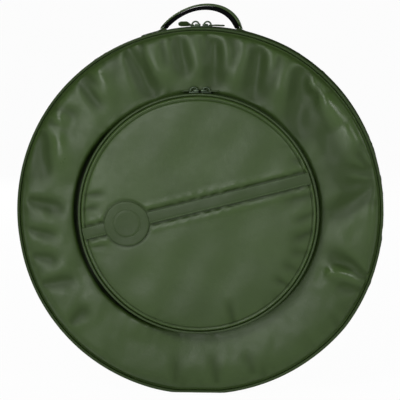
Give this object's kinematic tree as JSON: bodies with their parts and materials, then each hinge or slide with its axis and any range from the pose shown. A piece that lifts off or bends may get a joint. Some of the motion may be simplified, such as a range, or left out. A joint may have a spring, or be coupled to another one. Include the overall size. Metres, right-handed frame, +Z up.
{
  "type": "cymbal bag",
  "caption": "Round padded leather bag for cymbals that stands on its rim, with a zipped front cover, a round zipped pocket, folding dividers and an arched top handle",
  "frame": {"origin": "on the surface that the bag stands on, under the middle of its box", "axes": "+Z up to the handle, +Y from the pocket in front to the plain back, +X to the right as seen from the front"},
  "size_m": [0.6096, 0.0988, 0.648],
  "materials": {
    "back_panel_skin": "satin coated leather",
    "back_panel_foam": "closed-cell foam",
    "back_panel_lining": "brushed lining",
    "back_piping": "satin piping",
    "badge": "pressed leather",
    "cover_skin": "satin coated leather",
    "cover_foam": "closed-cell foam",
    "cover_lining": "brushed lining",
    "divider_front_foot": "padded cloth",
    "divider_front_leaf": "padded cloth",
    "divider_rear_foot": "padded cloth",
    "divider_rear_leaf": "padded cloth",
    "front_gusset_skin": "satin coated leather",
    "front_gusset_foam": "closed-cell foam",
    "front_gusset_lining": "brushed lining",
    "front_lower_skin": "satin coated leather",
    "front_lower_foam": "closed-cell foam",
    "front_lower_lining": "brushed lining",
    "front_piping_lower": "satin piping",
    "front_piping_upper": "satin piping",
    "handle_anchor_left": "stitched leather",
    "handle_anchor_right": "stitched leather",
    "handle_leather": "satin coated leather",
    "handle_webbing": "black webbing",
    "lower_gusset_skin": "satin coated leather",
    "lower_gusset_foam": "closed-cell foam",
    "lower_gusset_lining": "brushed lining",
    "main_pull_left": "leather tab",
    "main_pull_right": "leather tab",
    "main_slider_left": "green lacquer",
    "main_slider_right": "green lacquer",
    "main_zip_front_coil": "nylon coil",
    "main_zip_front_tape": "woven tape",
    "main_zip_rear_coil": "nylon coil",
    "main_zip_rear_tape": "woven tape",
    "pocket_flap_skin": "satin coated leather",
    "pocket_flap_foam": "closed-cell foam",
    "pocket_flap_lining": "brushed lining",
    "pocket_lower_skin": "satin coated leather",
    "pocket_lower_foam": "closed-cell foam",
    "pocket_lower_lining": "brushed lining",
    "pocket_piping_lower": "satin piping",
    "pocket_piping_upper": "satin piping",
    "pocket_pull_left": "leather tab",
    "pocket_pull_right": "leather tab",
    "pocket_slider_left": "green lacquer",
    "pocket_slider_right": "green lacquer",
    "pocket_strip": "satin coated leather",
    "pocket_wall_front": "satin coated leather",
    "pocket_wall_lower": "satin coated leather",
    "pocket_wall_rear": "satin coated leather",
    "pocket_zip_front_coil": "nylon coil",
    "pocket_zip_front_tape": "woven tape",
    "pocket_zip_rear_coil": "nylon coil",
    "pocket_zip_rear_tape": "woven tape",
    "rear_gusset_skin": "satin coated leather",
    "rear_gusset_foam": "closed-cell foam",
    "rear_gusset_lining": "brushed lining",
    "zip_end_left": "stitched leather",
    "zip_end_right": "stitched leather"
  },
  "bodies": {
    "bag_body": {"back_panel_skin": "back_panel_skin", "back_panel_foam": "back_panel_foam", "back_panel_lining": "back_panel_lining", "back_piping": "back_piping", "rear_gusset_skin": "rear_gusset_skin", "rear_gusset_foam": "rear_gusset_foam", "rear_gusset_lining": "rear_gusset_lining", "lower_gusset_skin": "lower_gusset_skin", "lower_gusset_foam": "lower_gusset_foam", "lower_gusset_lining": "lower_gusset_lining", "front_lower_skin": "front_lower_skin", "front_lower_foam": "front_lower_foam", "front_lower_lining": "front_lower_lining", "front_piping_lower": "front_piping_lower", "main_zip_rear_tape": "main_zip_rear_tape", "main_zip_rear_coil": "main_zip_rear_coil", "zip_end_left": "zip_end_left", "zip_end_right": "zip_end_right", "handle_anchor_left": "handle_anchor_left", "handle_anchor_right": "handle_anchor_right", "divider_front_foot": "divider_front_foot", "divider_rear_foot": "divider_rear_foot"},
    "cover": {"cover_skin": "cover_skin", "cover_foam": "cover_foam", "cover_lining": "cover_lining", "front_gusset_skin": "front_gusset_skin", "front_gusset_foam": "front_gusset_foam", "front_gusset_lining": "front_gusset_lining", "front_piping_upper": "front_piping_upper", "main_zip_front_tape": "main_zip_front_tape", "main_zip_front_coil": "main_zip_front_coil", "pocket_wall_rear": "pocket_wall_rear", "pocket_wall_lower": "pocket_wall_lower", "pocket_lower_skin": "pocket_lower_skin", "pocket_lower_foam": "pocket_lower_foam", "pocket_lower_lining": "pocket_lower_lining", "pocket_piping_lower": "pocket_piping_lower", "pocket_zip_rear_tape": "pocket_zip_rear_tape", "pocket_zip_rear_coil": "pocket_zip_rear_coil"},
    "pocket_flap": {"pocket_flap_skin": "pocket_flap_skin", "pocket_flap_foam": "pocket_flap_foam", "pocket_flap_lining": "pocket_flap_lining", "pocket_piping_upper": "pocket_piping_upper", "pocket_wall_front": "pocket_wall_front", "pocket_zip_front_tape": "pocket_zip_front_tape", "pocket_zip_front_coil": "pocket_zip_front_coil", "pocket_strip": "pocket_strip", "badge": "badge"},
    "divider_front": {"divider_front_leaf": "divider_front_leaf"},
    "divider_rear": {"divider_rear_leaf": "divider_rear_leaf"},
    "handle": {"handle_leather": "handle_leather", "handle_webbing": "handle_webbing"},
    "main_slider_left": {"main_slider_left": "main_slider_left"},
    "main_slider_right": {"main_slider_right": "main_slider_right"},
    "main_pull_left": {"main_pull_left": "main_pull_left"},
    "main_pull_right": {"main_pull_right": "main_pull_right"},
    "pocket_slider_left": {"pocket_slider_left": "pocket_slider_left"},
    "pocket_slider_right": {"pocket_slider_right": "pocket_slider_right"},
    "pocket_pull_left": {"pocket_pull_left": "pocket_pull_left"},
    "pocket_pull_right": {"pocket_pull_right": "pocket_pull_right"}
  },
  "joints": [
    {"name": "cover_hinge", "type": "hinge", "parent": "bag_body", "child": "cover", "pos_m": [0, -0.0185, 0.09792], "axis": [1, 0, 0], "range_deg": [0, 90]},
    {"name": "pocket_flap_hinge", "type": "hinge", "parent": "cover", "child": "pocket_flap", "pos_m": [0, -0.0465, 0.20275], "axis": [1, 0, 0], "range_deg": [0, 70]},
    {"name": "divider_front_fold", "type": "hinge", "parent": "bag_body", "child": "divider_front", "pos_m": [0, 0.00563, 0.09792], "axis": [1, 0, 0], "range_deg": [0, 40.5]},
    {"name": "divider_rear_fold", "type": "hinge", "parent": "bag_body", "child": "divider_rear", "pos_m": [0, 0.02237, 0.09792], "axis": [1, 0, 0], "range_deg": [0, 22.5]},
    {"name": "handle_lean", "type": "hinge", "parent": "bag_body", "child": "handle", "pos_m": [0, 0.033, 0.60636], "axis": [-1, 0, 0], "range_deg": [-15, 30], "stiffness_Nm_per_rad": 0.4},
    {"name": "main_slider_left_run", "type": "hinge", "parent": "bag_body", "child": "main_slider_left", "pos_m": [0, 0.0075, 0.302], "axis": [0, -1, 0], "range_deg": [0, 127]},
    {"name": "main_slider_right_run", "type": "hinge", "parent": "bag_body", "child": "main_slider_right", "pos_m": [0, 0.0075, 0.302], "axis": [0, 1, 0], "range_deg": [0, 127]},
    {"name": "main_pull_left_flip", "type": "hinge", "parent": "main_slider_left", "child": "main_pull_left", "pos_m": [-0.00784, 0.0075, 0.6104], "axis": [0, 1, 0], "range_deg": [0, 95]},
    {"name": "main_pull_right_flip", "type": "hinge", "parent": "main_slider_right", "child": "main_pull_right", "pos_m": [0.01189, 0.0075, 0.61027], "axis": [0, -1, 0], "range_deg": [0, 95]},
    {"name": "pocket_slider_left_run", "type": "hinge", "parent": "cover", "child": "pocket_slider_left", "pos_m": [0, -0.0285, 0.302], "axis": [0, -1, 0], "range_deg": [0, 113]},
    {"name": "pocket_slider_right_run", "type": "hinge", "parent": "cover", "child": "pocket_slider_right", "pos_m": [0, -0.0285, 0.302], "axis": [0, 1, 0], "range_deg": [0, 113]},
    {"name": "pocket_pull_left_flip", "type": "hinge", "parent": "pocket_slider_left", "child": "pocket_pull_left", "pos_m": [-0.00789, -0.0285, 0.50385], "axis": [0, 1, 0], "range_deg": [0, 95]},
    {"name": "pocket_pull_right_flip", "type": "hinge", "parent": "pocket_slider_right", "child": "pocket_pull_right", "pos_m": [0.01196, -0.0285, 0.50365], "axis": [0, -1, 0], "range_deg": [0, 95]}
  ],
  "couplings": [
    {"joint": "divider_front_fold", "follows": "cover_hinge", "ratio": 0.45},
    {"joint": "divider_rear_fold", "follows": "cover_hinge", "ratio": 0.25}
  ]
}
